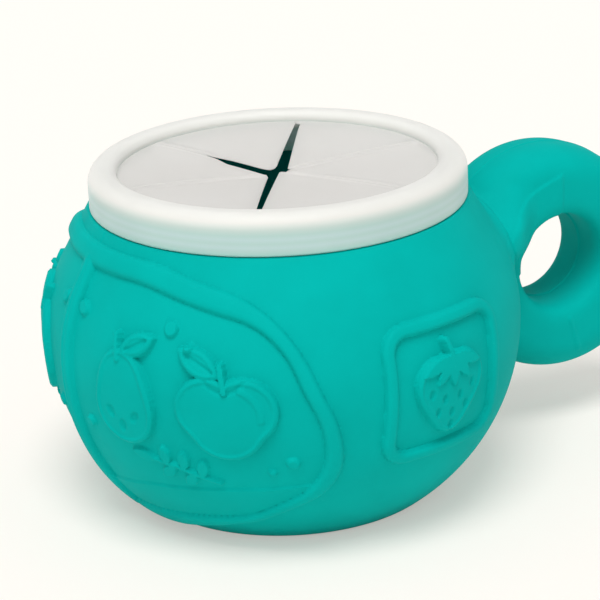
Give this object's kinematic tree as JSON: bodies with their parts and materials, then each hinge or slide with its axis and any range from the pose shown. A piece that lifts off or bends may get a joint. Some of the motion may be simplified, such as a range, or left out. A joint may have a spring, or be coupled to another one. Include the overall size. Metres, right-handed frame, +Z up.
{
  "type": "toddler snack container",
  "caption": "Soft pot-bellied snack cup with a ring handle and a translucent press-on cover whose slit disc makes triangular flaps for a hand to reach through.",
  "frame": {"origin": "centre of the cup's flat base, on the cup's axis", "axes": "+Z up along the cup's axis, +X towards the ring handle; the handle and both sides of the cup mirror about the XZ plane"},
  "size_m": [0.1573, 0.113, 0.0793],
  "materials": {
    "cup": "matte silicone with a fine soft-touch surface",
    "cover": "translucent satin silicone",
    "flap": "translucent satin silicone"
  },
  "bodies": {
    "cup": {"cup": "cup"},
    "cover": {"cover": "cover"},
    "flap_1": {"flap_1": "flap"},
    "flap_2": {"flap_2": "flap"},
    "flap_3": {"flap_3": "flap"},
    "flap_4": {"flap_4": "flap"},
    "flap_5": {"flap_5": "flap"},
    "flap_6": {"flap_6": "flap"}
  },
  "joints": [
    {"name": "cover_lift", "type": "slide", "parent": "cup", "child": "cover", "axis": [0, 0, 1], "range_m": [0, 0.03]},
    {"name": "flap_1_bend", "type": "hinge", "parent": "cover", "child": "flap_1", "pos_m": [0.00291, 0.03017, 0.0763], "axis": [0.9954, -0.0958, 0], "range_deg": [-60, 75], "stiffness_Nm_per_rad": 0.01},
    {"name": "flap_2_bend", "type": "hinge", "parent": "cover", "child": "flap_2", "pos_m": [-0.02468, 0.0176, 0.0763], "axis": [0.5807, 0.8141, 0], "range_deg": [-60, 75], "stiffness_Nm_per_rad": 0.01},
    {"name": "flap_3_bend", "type": "hinge", "parent": "cover", "child": "flap_3", "pos_m": [-0.02758, -0.01257, 0.0763], "axis": [-0.4147, 0.91, 0], "range_deg": [-60, 75], "stiffness_Nm_per_rad": 0.01},
    {"name": "flap_4_bend", "type": "hinge", "parent": "cover", "child": "flap_4", "pos_m": [-0.00291, -0.03017, 0.0763], "axis": [-0.9954, 0.0958, 0], "range_deg": [-60, 75], "stiffness_Nm_per_rad": 0.01},
    {"name": "flap_5_bend", "type": "hinge", "parent": "cover", "child": "flap_5", "pos_m": [0.02468, -0.0176, 0.0763], "axis": [-0.5807, -0.8141, 0], "range_deg": [-60, 75], "stiffness_Nm_per_rad": 0.01},
    {"name": "flap_6_bend", "type": "hinge", "parent": "cover", "child": "flap_6", "pos_m": [0.02758, 0.01257, 0.0763], "axis": [0.4147, -0.91, 0], "range_deg": [-60, 75], "stiffness_Nm_per_rad": 0.01}
  ]
}
